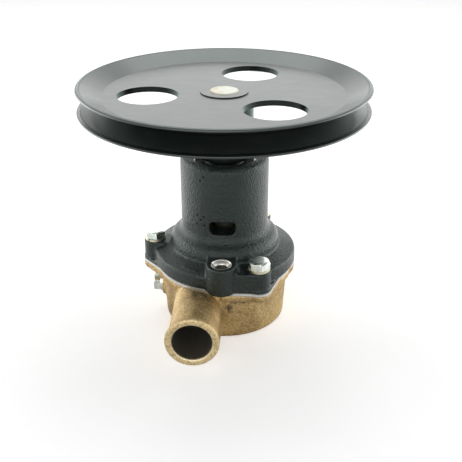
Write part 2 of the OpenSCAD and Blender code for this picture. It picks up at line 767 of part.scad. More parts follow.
module impeller() {
    impeller_l = body_h + gasket_t - cup_floor_t - 2 * side_gap;
    color(rubber) translate([0, 0, cup_floor_t + side_gap]) difference() {
        union() {
            cylinder(r = rubber_hub_r, h = impeller_l);
            for (i = [0:blade_count - 1])
                linear_extrude(height = impeller_l) blade((i + 0.5) * 360 / blade_count - blade_lean);
        }
        translate([0, 0, -cut]) cylinder(r = insert_r + fit, h = impeller_l + 2 * cut);
    }
}

// Pulley: hub and two pressed sheets back to back

module pulley_hub() {
    color(black_sheet) difference() {
        rotate_extrude() polygon([
            [shaft_pulley_r + fit, upper_bearing_top], [hub_nose_r, upper_bearing_top],
            [hub_nose_r, hub_z], [hub_r - shaft_chamfer, hub_z], [hub_r, hub_z + shaft_chamfer],
            [hub_r, pulley_mid - sheet_t], [spigot_r, pulley_mid - sheet_t],
            [spigot_r, web_top + spigot_rise], [shaft_pulley_r + fit, web_top + spigot_rise]]);
    }
}

// Section of the upper sheet, measured from the plane where the two sheets meet
module sheet_profile() {
    wall_top = pulley_w / 2;
    wall_run = pulley_r - lip_w - web_r;
    slope = atan((wall_top - sheet_t) / wall_run);
    miter = sheet_t / 2 * tan(slope / 2);
    outer_bend_r = bend_r + sheet_t;
    tangent = tan(slope / 2);
    edge_round = sheet_t / 4;
    polygon(concat(
        [[spigot_r + fit, 0]],
        arc(web_r + miter - outer_bend_r * tangent, outer_bend_r, outer_bend_r, -90, slope - 90, 4),
        arc(pulley_r - lip_w + miter + bend_r * tangent, wall_top - sheet_t - bend_r, bend_r,
            90 + slope, 90, 4),
        [[pulley_r - edge_round, wall_top - sheet_t], [pulley_r, wall_top - sheet_t + edge_round],
            [pulley_r, wall_top - edge_round], [pulley_r - edge_round, wall_top]],
        arc(pulley_r - lip_w - miter + outer_bend_r * tangent, wall_top - outer_bend_r, outer_bend_r,
            90, 90 + slope, 4),
        arc(web_r - miter - bend_r * tangent, sheet_t + bend_r, bend_r, slope - 90, -90, 4),
        [[spigot_r + fit, sheet_t]]));
}

module pulley_sheet() {
    color(black_sheet) difference() {
        rotate_extrude($fn = 180) sheet_profile();
        for (i = [0:2]) rotate(web_hole_turn + i * 120)
            translate([web_hole_circle_r, 0, -cut]) cylinder(r = web_hole_r, h = sheet_t + 2 * cut);
    }
}

module pulley_upper_sheet() {
    translate([0, 0, pulley_mid]) pulley_sheet();
}

module pulley_lower_sheet() {
    translate([0, 0, pulley_mid]) mirror([0, 0, 1]) pulley_sheet();
}

pump_body();
cam();
cam_screw();
cam_screw_washer();
body_gasket();
wear_plate();
pedestal_gasket();
bearing_pedestal();
flange_bolts();
lock_washers();
seal_case();
seal_lip();
seal_spring();
lower_bearing_outer_ring();
upper_bearing_outer_ring();
bearing_shields();
outer_spacer();
bearing_circlip();
shaft();
shaft_circlip();
slinger();
lower_bearing_inner_ring();
upper_bearing_inner_ring();
inner_spacer();
impeller();
impeller_insert();
drive_key();
pulley_hub();
pulley_upper_sheet();
pulley_lower_sheet();
lower_bearing_balls();
lower_bearing_cage();
upper_bearing_balls();
upper_bearing_cage();
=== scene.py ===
# %% [markdown]
# # A flexible impeller pump, dressed over its CAD frame
# The pump stands on the closed end of a sand-cast bronze body. A black cast-iron pedestal sits on it and carries
# the shaft, and a pressed-steel V pulley crowns the shaft. The frame below brings in every CAD node at its real
# size and place. The cells after it mix the finishes, make the pieces that deserve a finer mesh, and then light
# and frame the pump as a small product studio would.

# %% Load the frame
import json
import math
from contextlib import contextmanager
from functools import cached_property

import bmesh
import bpy
from mathutils import Matrix, Vector

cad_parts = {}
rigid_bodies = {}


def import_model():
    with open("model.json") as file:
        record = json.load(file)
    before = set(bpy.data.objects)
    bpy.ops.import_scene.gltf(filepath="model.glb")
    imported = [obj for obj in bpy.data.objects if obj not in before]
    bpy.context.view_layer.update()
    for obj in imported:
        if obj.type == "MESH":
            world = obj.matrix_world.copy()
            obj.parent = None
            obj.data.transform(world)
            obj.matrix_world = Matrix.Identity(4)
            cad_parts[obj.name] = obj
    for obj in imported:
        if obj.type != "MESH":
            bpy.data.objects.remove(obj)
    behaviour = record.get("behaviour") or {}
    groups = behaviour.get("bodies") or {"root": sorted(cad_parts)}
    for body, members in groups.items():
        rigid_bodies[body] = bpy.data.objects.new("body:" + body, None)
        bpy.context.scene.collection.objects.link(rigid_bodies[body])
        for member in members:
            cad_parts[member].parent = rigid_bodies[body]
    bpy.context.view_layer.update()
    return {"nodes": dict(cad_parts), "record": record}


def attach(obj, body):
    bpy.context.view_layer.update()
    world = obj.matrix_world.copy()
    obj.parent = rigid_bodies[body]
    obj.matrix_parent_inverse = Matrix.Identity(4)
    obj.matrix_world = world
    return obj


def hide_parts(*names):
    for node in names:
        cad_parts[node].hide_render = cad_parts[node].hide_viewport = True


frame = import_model()
NODES = frame["nodes"]
MM = 0.001

# %% [markdown]
# ## Places that several cells share
# A finish that changes at a bore and a piece that stands on a seat must agree with the CAD about where these are.
# Such places are named once here. They are in millimetres from the foot of the pump, with the shaft along Z, the
# ports along Y and the front towards minus Y.

# %% Shared places
PORT_X, PORT_Z = -16.65, 24.2
THREAD_Y = 46
BOLT_CIRCLE_R, BOLT_ANGLES = 49.5, (180, -60, 60)
BOLT_SEAT_Z = 56.4
SEAM_Z = 159.8
print("the pulley's sheets meet at", SEAM_Z, "mm; the bolts sit at", BOLT_SEAT_Z, "mm")


# %% [markdown]
# ## Small helpers for meshes
# Every finished piece keeps its object at the origin, with its place in its mesh, and rides on a CAD body.
# `plain_mesh` turns whatever an object's modifiers make into one plain mesh, so nothing live is left on it. A
# `bmesh` is Blender's editable copy of a mesh; `edited` opens one and writes it back.

# %% Helpers for meshes
def in_scene(name, data):
    """A new object in the scene."""
    obj = bpy.data.objects.new(name, data)
    bpy.context.scene.collection.objects.link(obj)
    return obj


def new_piece(name, mesh, body):
    """A mesh object at the origin that rides on a body."""
    piece = in_scene(name, mesh)
    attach(piece, body)
    return piece


def plain_mesh(obj, name):
    """The evaluated mesh of obj as a new mesh, with obj removed."""
    bpy.context.view_layer.update()
    graph = bpy.context.evaluated_depsgraph_get()
    mesh = bpy.data.meshes.new_from_object(obj.evaluated_get(graph))
    mesh.name = name
    bpy.data.objects.remove(obj)
    return mesh


@contextmanager
def edited(mesh):
    """A mesh opened for editing and written back at the end."""
    work = bmesh.new()
    work.from_mesh(mesh)
    yield work
    work.to_mesh(mesh)
    work.free()


def smooth_by_angle(mesh, degrees):
    """Smooth shading everywhere except over edges sharper than the angle."""
    with edited(mesh) as work:
        for face in work.faces:
            face.smooth = True
        for edge in work.edges:
            edge.smooth = len(edge.link_faces) == 2 and edge.calc_face_angle(0) < math.radians(degrees)


# %% [markdown]
# ## Node trees written as code
# A finish is a tree of shader nodes, and a repeated piece is a tree of geometry nodes. Both are wired the same
# way: a node is added, and each of its inputs takes a link or a plain value. `Wiring` does that once for both.

# %% Wiring for any node tree
class Wiring:
    """A node tree under construction."""

    def __init__(self, tree):
        self.tree = tree

    def fill(self, socket, value):
        """Link a socket to another one, or set it to a plain value."""
        if isinstance(value, bpy.types.NodeSocket):
            self.tree.links.new(value, socket)
        else:
            socket.default_value = value

    def add(self, kind, inputs=None, **settings):
        """A node with its properties set and its inputs filled."""
        node = self.tree.nodes.new(kind)
        for key, value in settings.items():
            setattr(node, key, value)
        for key, value in (inputs or {}).items():
            self.fill(node.inputs[key], value)
        return node

    def math(self, operation, a, b=0.0, clamp=False):
        return self.add("ShaderNodeMath", {0: a, 1: b}, operation=operation, use_clamp=clamp).outputs[0]

    def times(self, a, b):
        return self.math("MULTIPLY", a, b)

    def xyz(self, vector):
        """The three numbers of a vector."""
        return self.add("ShaderNodeSeparateXYZ", {0: vector}).outputs

    def vector(self, **numbers):
        """A vector from some of x, y and z."""
        axes = {"xyz".index(axis): value for axis, value in numbers.items()}
        return self.add("ShaderNodeCombineXYZ", axes).outputs[0]


# %% [markdown]
# ## A geometry rule with named sizes
# The pulley's sheets, the bolts and the washers come from Geometry Nodes trees. Each rule has sockets with names
# for its sizes, and ends in plain meshes with their finish, because the export keeps no instances. A modifier's
# inputs are set by a socket's identifier, so the rule remembers which label has which.

# %% A builder for geometry rules
class Rule(Wiring):
    """A Geometry Nodes tree under construction, and the way to run it."""

    def __init__(self, name, sizes):
        super().__init__(bpy.data.node_groups.new(name, "GeometryNodeTree"))
        face = self.tree.interface
        face.new_socket("Geometry", in_out="INPUT", socket_type="NodeSocketGeometry")
        self.ids = {}
        for label, (kind, value) in {**sizes, "Finish": ("Material", None)}.items():
            socket = face.new_socket(label, in_out="INPUT", socket_type="NodeSocket" + kind)
            if value is not None:
                socket.default_value = value
            self.ids[label] = socket.identifier
        face.new_socket("Geometry", in_out="OUTPUT", socket_type="NodeSocketGeometry")
        self.size = self.tree.nodes.new("NodeGroupInput").outputs
        self.out = self.tree.nodes.new("NodeGroupOutput").inputs

    def shape(self, kind, inputs=None, **settings):
        """A node that makes or changes geometry, by its first output."""
        return self.add("GeometryNode" + kind, inputs, **settings).outputs[0]

    def close(self, geometry):
        """End the tree in plain meshes with their finish."""
        whole = self.shape("RealizeInstances", {"Geometry": geometry})
        dressed = self.shape("SetMaterial", {"Geometry": whole, "Material": self.size["Finish"]})
        self.fill(self.out["Geometry"], dressed)

    def run(self, mesh, name, **values):
        """The rule's result on a mesh, as a plain mesh."""
        host = in_scene(name + "_host", mesh)
        modifier = host.modifiers.new("rule", "NODES")
        modifier.node_group = self.tree
        for label, value in values.items():
            modifier[self.ids[label.replace("_", " ")]] = value
        return plain_mesh(host, name)


# %% [markdown]
# ## A builder for finishes and effects
# Patterns read Object coordinates, so they stay on their piece when it turns. An effect that several finishes use
# is a shader node group with named inputs, and it puts out only masks and heights. The Principled shader stays in
# each material, where values that are the same all over sit on its own sockets. Colours are linear.

# %% A builder for shader trees
class Shade(Wiring):
    """A shader tree under construction, with the inputs it reads and the ends it feeds."""

    def __init__(self, tree, inputs=None, ends=None):
        super().__init__(tree)
        self.inp, self.ends = inputs, ends

    @cached_property
    def place(self):
        return self.add("ShaderNodeTexCoord").outputs["Object"]

    @cached_property
    def at(self):
        return self.xyz(self.place)

    def stretched(self, x, y, z):
        """The place with its axes scaled, for a pattern that runs one way."""
        return self.add("ShaderNodeMapping", {"Vector": self.place, "Scale": (x, y, z)}).outputs[0]

    def noise(self, scale, detail=4.0, rough=0.5, where=None):
        where = self.place if where is None else where
        return self.add("ShaderNodeTexNoise", {"Vector": where, "Scale": scale, "Detail": detail,
                                               "Roughness": rough}).outputs["Fac"]

    def span(self, value, low, high, to_low=0.0, to_high=1.0):
        """value from low..high carried onto to_low..to_high, held at the ends."""
        return self.add("ShaderNodeMapRange", {"Value": value, "From Min": low, "From Max": high, "To Min": to_low,
                                               "To Max": to_high}, clamp=True).outputs["Result"]

    def mix(self, share, a, b):
        """Colour a with a share of colour b over it."""
        return self.add("ShaderNodeMix", {0: share, 6: a, 7: b}, data_type="RGBA").outputs[2]

    def round_axis(self, a, b):
        """The distance from an axis, by the two coordinates square to it."""
        return self.math("SQRT", self.math("ADD", self.times(a, a), self.times(b, b)))

    def from_spot(self, spot_mm):
        """The distance from one spot."""
        spot = tuple(v * MM for v in spot_mm)
        return self.add("ShaderNodeVectorMath", {0: self.place, 1: spot}, operation="DISTANCE").outputs["Value"]

    def facing_up(self):
        """1 where a face looks up, 0 where it stands upright."""
        return self.xyz(self.add("ShaderNodeNewGeometry").outputs["Normal"])["Z"]

    def group(self, group, **values):
        """An effect placed in this tree with its own values."""
        inputs = {label.replace("_", " "): value for label, value in values.items()}
        return self.add("ShaderNodeGroup", inputs, node_tree=group).outputs

    def bump(self, height, strength, depth_mm, **normal):
        inputs = {"Height": height, "Strength": strength, "Distance": depth_mm * MM, **normal}
        return self.add("ShaderNodeBump", inputs).outputs["Normal"]

    def put(self, end, value):
        self.tree.links.new(value, self.ends[end])


def effect(name, inputs, outputs):
    """An empty shader group with named float inputs and outputs, and its builder."""
    group = bpy.data.node_groups.new(name, "ShaderNodeTree")
    for label, value in inputs.items():
        socket = group.interface.new_socket(label, in_out="INPUT", socket_type="NodeSocketFloat")
        socket.default_value = value
    for label in outputs:
        group.interface.new_socket(label, in_out="OUTPUT", socket_type="NodeSocketFloat")
    nodes = group.nodes
    return group, Shade(group, nodes.new("NodeGroupInput").outputs, nodes.new("NodeGroupOutput").inputs)


def finish(name, **plain):
    """A material with its Principled shader set to plain values, and its builder."""
    material = bpy.data.materials.new(name)
    material.use_nodes = True
    shader = material.node_tree.nodes["Principled BSDF"]
    for label, value in plain.items():
        shader.inputs[label.replace("_", " ")].default_value = value
    return material, Shade(material.node_tree, ends=shader.inputs)


def rgb(red, green, blue):
    return (red, green, blue, 1)


# %% [markdown]
# ## Cast grain
# Sand moulds leave a skin of soft pebbles with finer sand between them, and a few open pits. A picture of a
# casting would repeat and blur, so two noises of different size make the skin and a Voronoi pattern drops the
# pits. Both castings use it, each with its own grain size in millimetres.

# %% Cast grain: pebbles, fine sand and scattered pits
CAST_GRAIN, s = effect("cast grain", {"Pebble Size": 1.4, "Sand Size": 0.35, "Pit Share": 0.03},
                       ["Height", "Pits", "Mottle"])
pebble_scale = s.math("DIVIDE", 1 / MM, s.inp["Pebble Size"])
sand_scale = s.math("DIVIDE", 1 / MM, s.inp["Sand Size"])
pebbles = s.noise(pebble_scale, detail=2.0)
sand = s.noise(sand_scale, detail=1.0)
pit_cells = s.add("ShaderNodeTexVoronoi", {"Vector": s.place, "Scale": s.times(pebble_scale, 0.36)})
pit_patches = s.span(s.noise(90.0, detail=2.0), 0.45, 0.62)
pits = s.math("LESS_THAN", pit_cells.outputs["Distance"], s.times(s.inp["Pit Share"], pit_patches))
height = s.math("ADD", s.times(pebbles, 0.8), s.times(sand, 0.35))
s.put("Height", s.math("SUBTRACT", height, s.times(pits, 0.9)))
s.put("Pits", pits)
s.put("Mottle", s.span(s.noise(55.0, detail=5.0, rough=0.6), 0.3, 0.7))
print(CAST_GRAIN.name, "has", len(CAST_GRAIN.nodes), "nodes")

# %% [markdown]
# ## Rubbed edges
# Handling wears paint and polishes metal at corners first. A Bevel node gives the normal that a small rounding
# would have; where it differs from the face's own normal there is an edge. A noise breaks the line up, so the
# wear is in patches and not a drawn outline.

# %% Edge rub: where a tiny bevel would turn the surface
EDGE_RUB, s = effect("edge rub", {"Width": 0.5, "Breakup": 0.5}, ["Mask"])
bevel = s.add("ShaderNodeBevel", {"Radius": s.times(s.inp["Width"], MM)}, samples=4)
flat = s.add("ShaderNodeNewGeometry").outputs["Normal"]
turn = s.add("ShaderNodeVectorMath", {0: bevel.outputs["Normal"], 1: flat}, operation="DOT_PRODUCT")
edge = s.span(turn.outputs["Value"], 0.995, 0.90)
patch = s.span(s.noise(160.0, rough=0.7), 0.42, 0.6)
missing = s.times(s.inp["Breakup"], s.math("SUBTRACT", 1.0, patch))
s.put("Mask", s.times(edge, s.math("SUBTRACT", 1.0, missing, clamp=True)))
print(EDGE_RUB.name, "has", len(EDGE_RUB.nodes), "nodes")

# %% [markdown]
# ## Settled dust
# Dust lies only on what looks up, and it drifts. Fine specks are held to wide soft patches, and both to faces
# whose normal points upwards. The black paints use it.

# %% Dust: specks that settle on faces that look up
DUST, s = effect("settled dust", {"Speck Size": 0.8, "Amount": 0.5}, ["Mask"])
specks = s.span(s.noise(s.math("DIVIDE", 1 / MM, s.inp["Speck Size"]), detail=2.0), 0.64, 0.8)
drift = s.span(s.noise(24.0, detail=3.0), 0.35, 0.75)
lying = s.times(s.span(s.facing_up(), 0.2, 0.9), s.inp["Amount"])
s.put("Mask", s.times(s.times(specks, drift), lying))
print(DUST.name, "has", len(DUST.nodes), "nodes")

# %% [markdown]
# ## Bare machined faces
# The pedestal is one solid, but its bearing bore and the mouths of its mounting threads are machined and bare.
# Splitting the mesh for that would leave seams, so a mask tells bare metal from paint by place: inside the bore's
# radius and height, or close to the axis of a thread.

# %% Bare bores
BORE_MIDDLE_Z, BORE_HALF_H = 98.5, 14.5
BARE, s = effect("bare bores", {"Column Bore": 23.6, "Thread Mouth": 6.6}, ["Mask"])
from_shaft = s.round_axis(s.at["X"], s.at["Y"])
from_thread = s.round_axis(s.at["X"], s.math("SUBTRACT", s.math("ABSOLUTE", s.at["Y"]), THREAD_Y * MM))
off_middle = s.math("ABSOLUTE", s.math("SUBTRACT", s.at["Z"], BORE_MIDDLE_Z * MM))
in_bore = s.times(s.math("LESS_THAN", from_shaft, s.times(s.inp["Column Bore"], MM)),
                  s.math("LESS_THAN", off_middle, BORE_HALF_H * MM))
in_thread = s.math("LESS_THAN", from_thread, s.times(s.inp["Thread Mouth"], MM))
s.put("Mask", s.math("MAXIMUM", in_bore, in_thread))
print(BARE.name, "has", len(BARE.nodes), "nodes")

# %% [markdown]
# ## Single sand pits
# The column has a few round pits where grains of sand broke out, five of them set like the spots on a die. They
# are no larger than a face of the casting's mesh, so they are spots in the paint and its bump, each in its place.

# %% Single pits
SAND_PITS_MM = [(-16.9, -24.8, 84.8), (-12.4, -27.3, 84.6), (-14.5, -26.3, 81.9), (-17.0, -24.7, 78.5),
                (-12.2, -27.4, 78.5), (-12.1, -27.5, 113.0), (-14.5, -26.3, 110.3)]
PITS, s = effect("single sand pits", {"Radius": 0.85}, ["Mask"])
nearest = s.from_spot(SAND_PITS_MM[0])
for spot in SAND_PITS_MM[1:]:
    nearest = s.math("MINIMUM", nearest, s.from_spot(spot))
s.put("Mask", s.span(s.math("DIVIDE", nearest, s.times(s.inp["Radius"], MM)), 1.0, 0.7))
print(PITS.name, "marks", len(SAND_PITS_MM), "pits")

# %% [markdown]
# ## Stains, and painted shade at the tube's root
# The cup has dark porous streaks beside the hose tube. Where the tube leaves the chest, the dark brown gathered there
# is painted shade in the hollow between tube and cup. The smears themselves come from a noise in the finish; this
# mask only says where they gather, with soft round regions of a few millimetres.

# %% Stained places
# The last two spots lie at the tube's root, where the darkening is painted shade.
STAINS_MM = [((9.5, -40.9, 30.2), 6), ((4.1, -41.8, 24), 6), ((14.5, -39.8, 31), 6), ((-17, -50, 38), 9),
             ((-25, -58, 35), 6)]
STAINS, s = effect("stains and painted shade at the tube root", {"Spread": 1.0}, ["Mask"])
stained = 0.0
for spot, reach in STAINS_MM:
    gap = s.math("DIVIDE", s.from_spot(spot), s.times(s.inp["Spread"], reach * MM))
    stained = s.math("MAXIMUM", stained, s.span(gap, 1.3, 0.3))
s.put("Mask", stained)
print(STAINS.name, "marks", len(STAINS_MM), "places")

# %% [markdown]
# ## Painted shade inside the ports, their sawn mouth and a painted highlight at its edge
# Inside a port the bronze is painted darker towards the depth, as the shade in the bore. Its end face is sawn clean,
# lighter as machined metal, and painted brighter still as the light that falls on it. The inner corner of that face
# is polished by hoses and gets a painted highlight in its colour. All three are told apart by the distance from the
# port's axis and along it, and both ports share the mask because they mirror each other.

# %% Port masks
PORT_DARK_Y, PORT_MOUTH_Y = (85.2, 83.0), (84.4, 85.3)
WORN_R, WORN_EDGE, WORN_CORE = 13.1, 0.55, 0.3
PORT_BORE, s = effect("painted shade and highlight of the ports", {"Bore Radius": 12.95}, ["Bore", "Mouth", "Worn Edge"])
from_port = s.round_axis(s.math("SUBTRACT", s.at["X"], PORT_X * MM), s.math("SUBTRACT", s.at["Z"], PORT_Z * MM))
outward = s.math("ABSOLUTE", s.at["Y"])
inside = s.math("LESS_THAN", from_port, s.times(s.inp["Bore Radius"], MM))
# Painted shade: the inside of each port darkens towards its depth.
s.put("Bore", s.times(inside, s.span(outward, PORT_DARK_Y[0] * MM, PORT_DARK_Y[1] * MM)))
mouth = s.span(outward, PORT_MOUTH_Y[0] * MM, PORT_MOUTH_Y[1] * MM)
s.put("Mouth", mouth)
# Painted highlight: a thin ring round the inner corner of each port's end face.
corner = s.math("ABSOLUTE", s.math("SUBTRACT", from_port, WORN_R * MM))
s.put("Worn Edge", s.times(s.span(corner, WORN_EDGE * MM, WORN_CORE * MM), mouth))
print(PORT_BORE.name, "has", len(PORT_BORE.nodes), "nodes")

# %% [markdown]
# ## Black enamel on the pedestal
# Satin enamel brushed over a pebbled casting is nearly black with a green cast. One flat black would look like
# plastic, so two blacks are mottled, and worn corners, dust and pits are laid over them. The bare metal comes
# last. It is metallic, and so are the pits, because a black metal doesn't shine as a black enamel does.

# %% Black enamel on cast iron
PAINTED_IRON, s = finish("black enamel on cast iron", Specular_Tint=rgb(0.86, 1.0, 0.94))
grain = s.group(CAST_GRAIN, Pebble_Size=1.6, Sand_Size=0.8, Pit_Share=0.10)
rub = s.group(EDGE_RUB, Width=0.5, Breakup=0.8)["Mask"]
dust = s.group(DUST, Speck_Size=0.9, Amount=0.5)["Mask"]
single = s.group(PITS)["Mask"]
bare = s.group(BARE)["Mask"]
deep_black, pale_black = rgb(0.009, 0.013, 0.012), rgb(0.019, 0.026, 0.024)
worn_black, dust_grey = rgb(0.075, 0.08, 0.078), rgb(0.25, 0.25, 0.24)
dark_iron, pale_iron = rgb(0.34, 0.33, 0.30), rgb(0.52, 0.50, 0.46)
paint = s.mix(grain["Mottle"], deep_black, pale_black)
paint = s.mix(grain["Pits"], paint, rgb(0.003, 0.003, 0.003))
paint = s.mix(s.times(rub, 0.35), paint, worn_black)
paint = s.mix(s.times(dust, 0.25), paint, dust_grey)
paint = s.mix(single, paint, rgb(0.002, 0.002, 0.002))
iron = s.mix(s.noise(500.0, detail=3.0), dark_iron, pale_iron)
s.put("Base Color", s.mix(bare, paint, iron))
s.put("Metallic", s.math("MAXIMUM", s.times(bare, 0.9), s.times(single, 0.9)))
s.put("Roughness", s.span(grain["Mottle"], 0, 1, 0.30, 0.42))
skin = s.times(s.math("SUBTRACT", grain["Height"], single), s.math("SUBTRACT", 1.0, bare))
s.put("Normal", s.bump(skin, strength=1.0, depth_mm=0.65))
print(PAINTED_IRON.name)

# %% [markdown]
# ## Black lacquer on the pulley
# The pulley is smooth, and mirrors the white room above it as an even grey. What keeps it from looking like a
# rendered disc is a faint cloud in the black, wear that runs round the web, dust, and the orange peel of sprayed
# lacquer. The crease inside the rim and the cut walls of the holes get painted shade: a dark metal with less coat.

# %% Black lacquer on pressed steel
CREASE_R, CREASE_EDGE, CREASE_CORE = 92.4, 0.45, 0.25
HOLES_END_R = 74
PAINTED_SHEET, s = finish("black lacquer on pressed steel", IOR=1.6, Specular_Tint=rgb(0.86, 1.0, 0.93),
                          Coat_Roughness=0.2)
rub = s.group(EDGE_RUB, Width=0.45, Breakup=0.6)["Mask"]
dust = s.group(DUST, Speck_Size=1.1, Amount=0.3)["Mask"]
cloud = s.noise(18.0, rough=0.55)
wear = s.noise(70.0, detail=5.0, rough=0.65, where=s.stretched(1, 2.5, 1))
deep_black, pale_black = rgb(0.015, 0.0195, 0.018), rgb(0.030, 0.036, 0.034)
worn_black, rubbed_black, dust_grey = rgb(0.055, 0.062, 0.058), rgb(0.08, 0.085, 0.08), rgb(0.32, 0.32, 0.31)
paint = s.mix(s.span(cloud, 0.35, 0.7), deep_black, pale_black)
paint = s.mix(s.span(wear, 0.5, 0.75, 0.0, 0.3), paint, worn_black)
paint = s.mix(s.times(rub, 0.3), paint, rubbed_black)
paint = s.mix(s.times(dust, 0.35), paint, dust_grey)
s.put("Base Color", paint)
s.put("Roughness", s.span(wear, 0.25, 0.75, 0.27, 0.36))
radius = s.round_axis(s.at["X"], s.at["Y"])
crease = s.span(s.math("ABSOLUTE", s.math("SUBTRACT", radius, CREASE_R * MM)), CREASE_EDGE * MM, CREASE_CORE * MM)
upright = s.span(s.math("ABSOLUTE", s.facing_up()), 0.7, 0.4)
cut_wall = s.times(upright, s.span(radius, HOLES_END_R * MM, (HOLES_END_R - 2) * MM))
# Painted shade: in the crease and on the cut walls the lacquer turns to a dark metal with less coat, so they reflect
# darker.
dull = s.math("MAXIMUM", crease, cut_wall)
s.put("Metallic", s.times(dull, 0.85))
s.put("Coat Weight", s.math("SUBTRACT", 0.25, s.times(dull, 0.22)))
peel = s.math("ADD", s.noise(420.0, detail=2.0), s.times(s.noise(60.0, detail=3.0), 1.2))
s.put("Normal", s.bump(peel, strength=0.22, depth_mm=0.06))
print(PAINTED_SHEET.name)

# %% [markdown]
# ## Sand-cast bronze
# The body is dull yellow-brown metal with a sandy skin. Full metal would turn the sandy skin into glitter, so it
# is metallic only in part, as a rough casting with dirt in its skin looks. Light and dark specks give the sand
# its colour, the pits are nearly black, smears gather at the stained places, painted shade darkens the tube's root
# and the inside of the ports, a painted highlight rings the ports' inner edges, and the corners are polished.

# %% Bronze
BRONZE, s = finish("sand-cast bronze", Metallic=0.6)
grain = s.group(CAST_GRAIN, Pebble_Size=1.4, Sand_Size=0.6, Pit_Share=0.09)
ports = s.group(PORT_BORE)
rub = s.group(EDGE_RUB, Width=0.9, Breakup=0.35)["Mask"]
tone = s.noise(38.0, detail=6.0, rough=0.65)
speck = s.noise(800.0, detail=3.0, rough=0.6)
brown, yellow, sawn = rgb(0.33, 0.19, 0.067), rgb(0.70, 0.52, 0.24), rgb(0.95, 0.76, 0.42)
dark_speck, pale_speck, pit = rgb(0.16, 0.10, 0.04), rgb(0.95, 0.82, 0.54), rgb(0.06, 0.045, 0.03)
smear_brown, rubbed, polished = rgb(0.075, 0.052, 0.03), rgb(1.0, 0.88, 0.60), rgb(1.0, 0.90, 0.64)
port_brown = rgb(0.22, 0.20, 0.165)
metal = s.mix(s.span(tone, 0.34, 0.62), brown, yellow)
# The sawn end faces are lighter as machined metal, and brighter still as painted light.
metal = s.mix(s.times(ports["Mouth"], 0.7), metal, sawn)
metal = s.mix(s.span(speck, 0.49, 0.36, 0.0, 0.5), metal, dark_speck)
metal = s.mix(s.span(speck, 0.54, 0.68, 0.0, 0.42), metal, pale_speck)
metal = s.mix(s.times(grain["Pits"], 0.8), metal, pit)
gathered = s.math("ADD", s.noise(170.0, detail=5.0, rough=0.7), s.times(s.group(STAINS)["Mask"], 0.26))
# Dark smears, and painted shade where the mask gathers them at the tube's root.
metal = s.mix(s.span(gathered, 0.65, 0.84, 0.0, 0.85), metal, smear_brown)
metal = s.mix(s.times(rub, 0.85), metal, rubbed)
# Painted highlight on the ports' inner edge, over a real polish that lowers the roughness.
metal = s.mix(ports["Worn Edge"], metal, polished)
# Painted shade: inside the ports the colour turns to a dull dark brown.
s.put("Base Color", s.mix(ports["Bore"], metal, port_brown))
polish = s.math("MAXIMUM", rub, ports["Worn Edge"])
s.put("Roughness", s.math("SUBTRACT", s.span(tone, 0.3, 0.7, 0.46, 0.6), s.times(polish, 0.24)))
s.put("Normal", s.bump(grain["Height"], strength=0.9, depth_mm=0.32))
print(BRONZE.name)

# %% [markdown]
# ## Zinc plate
# Bolts and the cam screw are plated bright grey, with a faint green and yellow pickle at the edges. Plating pools
# and clouds, so one noise drives the colour, the gloss and a slight bump together. The Bevel node's normal rounds
# the exact edges of CAD faces, which would otherwise catch no light.

# %% Zinc
ZINC, s = finish("zinc plate", Metallic=1.0)
cloud = s.noise(260.0, detail=5.0, rough=0.65)
rub = s.group(EDGE_RUB, Width=0.6, Breakup=0.3)["Mask"]
dull_zinc, bright_zinc, pickled = rgb(0.66, 0.73, 0.70), rgb(0.93, 0.96, 0.91), rgb(1.0, 1.0, 0.90)
plate = s.mix(s.span(cloud, 0.36, 0.60), dull_zinc, bright_zinc)
s.put("Base Color", s.mix(s.times(rub, 0.6), plate, pickled))
s.put("Roughness", s.span(cloud, 0.35, 0.65, 0.34, 0.2))
rounded = s.add("ShaderNodeBevel", {"Radius": 0.35 * MM}, samples=4).outputs["Normal"]
s.put("Normal", s.bump(cloud, strength=0.35, depth_mm=0.08, Normal=rounded))
print(ZINC.name)

# %% [markdown]
# ## Shaft end
# The shaft's end was faced on a lathe, so fine rings run round its middle, and old rust tints one side straw.
# The rings are a sine of the distance from the shaft's axis, which is cheaper and truer than modelled grooves.

# %% Turned steel with a straw tint
RING_PITCH, RUST_FROM_X, RUST_FULL_X = 0.35, 1.0, -7
SHAFT_STEEL, s = finish("turned shaft steel", Metallic=0.75, Roughness=0.32)
rings = s.math("SINE", s.times(s.round_axis(s.at["X"], s.at["Y"]), 2 * math.pi / (RING_PITCH * MM)))
rusted_side = s.span(s.at["X"], RUST_FROM_X * MM, RUST_FULL_X * MM)
rust = s.times(s.span(s.noise(150.0, rough=0.7), 0.40, 0.62), rusted_side)
s.put("Base Color", s.mix(rust, rgb(0.52, 0.52, 0.45), rgb(0.42, 0.32, 0.16)))
s.put("Roughness", s.span(s.noise(300.0, detail=3.0), 0.3, 0.7, 0.26, 0.42))
s.put("Normal", s.bump(rings, strength=0.10, depth_mm=0.02))
print(SHAFT_STEEL.name)

# %% [markdown]
# ## Small metals, fibre and rubber
# The other finishes show little or nothing from outside, and differ only in numbers: one noise runs a colour from
# dark to pale, and may run the gloss or a bump too. A stretched pattern gives rolled or fibrous sheet its
# direction. So one short function makes them all from a row each.

# %% The finishes of one noise
def clouded(name, scale, dark, pale, colour_span=None, detail=3.0, rough=0.5, stretch=None, gloss=None, relief=None,
            **plain):
    """A finish whose colour, and if asked its roughness and bump, follow one noise."""
    material, s = finish(name, **plain)
    cloud = s.noise(scale, detail, rough, s.stretched(*stretch) if stretch else None)
    s.put("Base Color", s.mix(s.span(cloud, *colour_span) if colour_span else cloud, dark, pale))
    if gloss:
        s.put("Roughness", s.span(cloud, 0.3, 0.7, *gloss))
    if relief:
        s.put("Normal", s.bump(cloud, *relief))
    return material


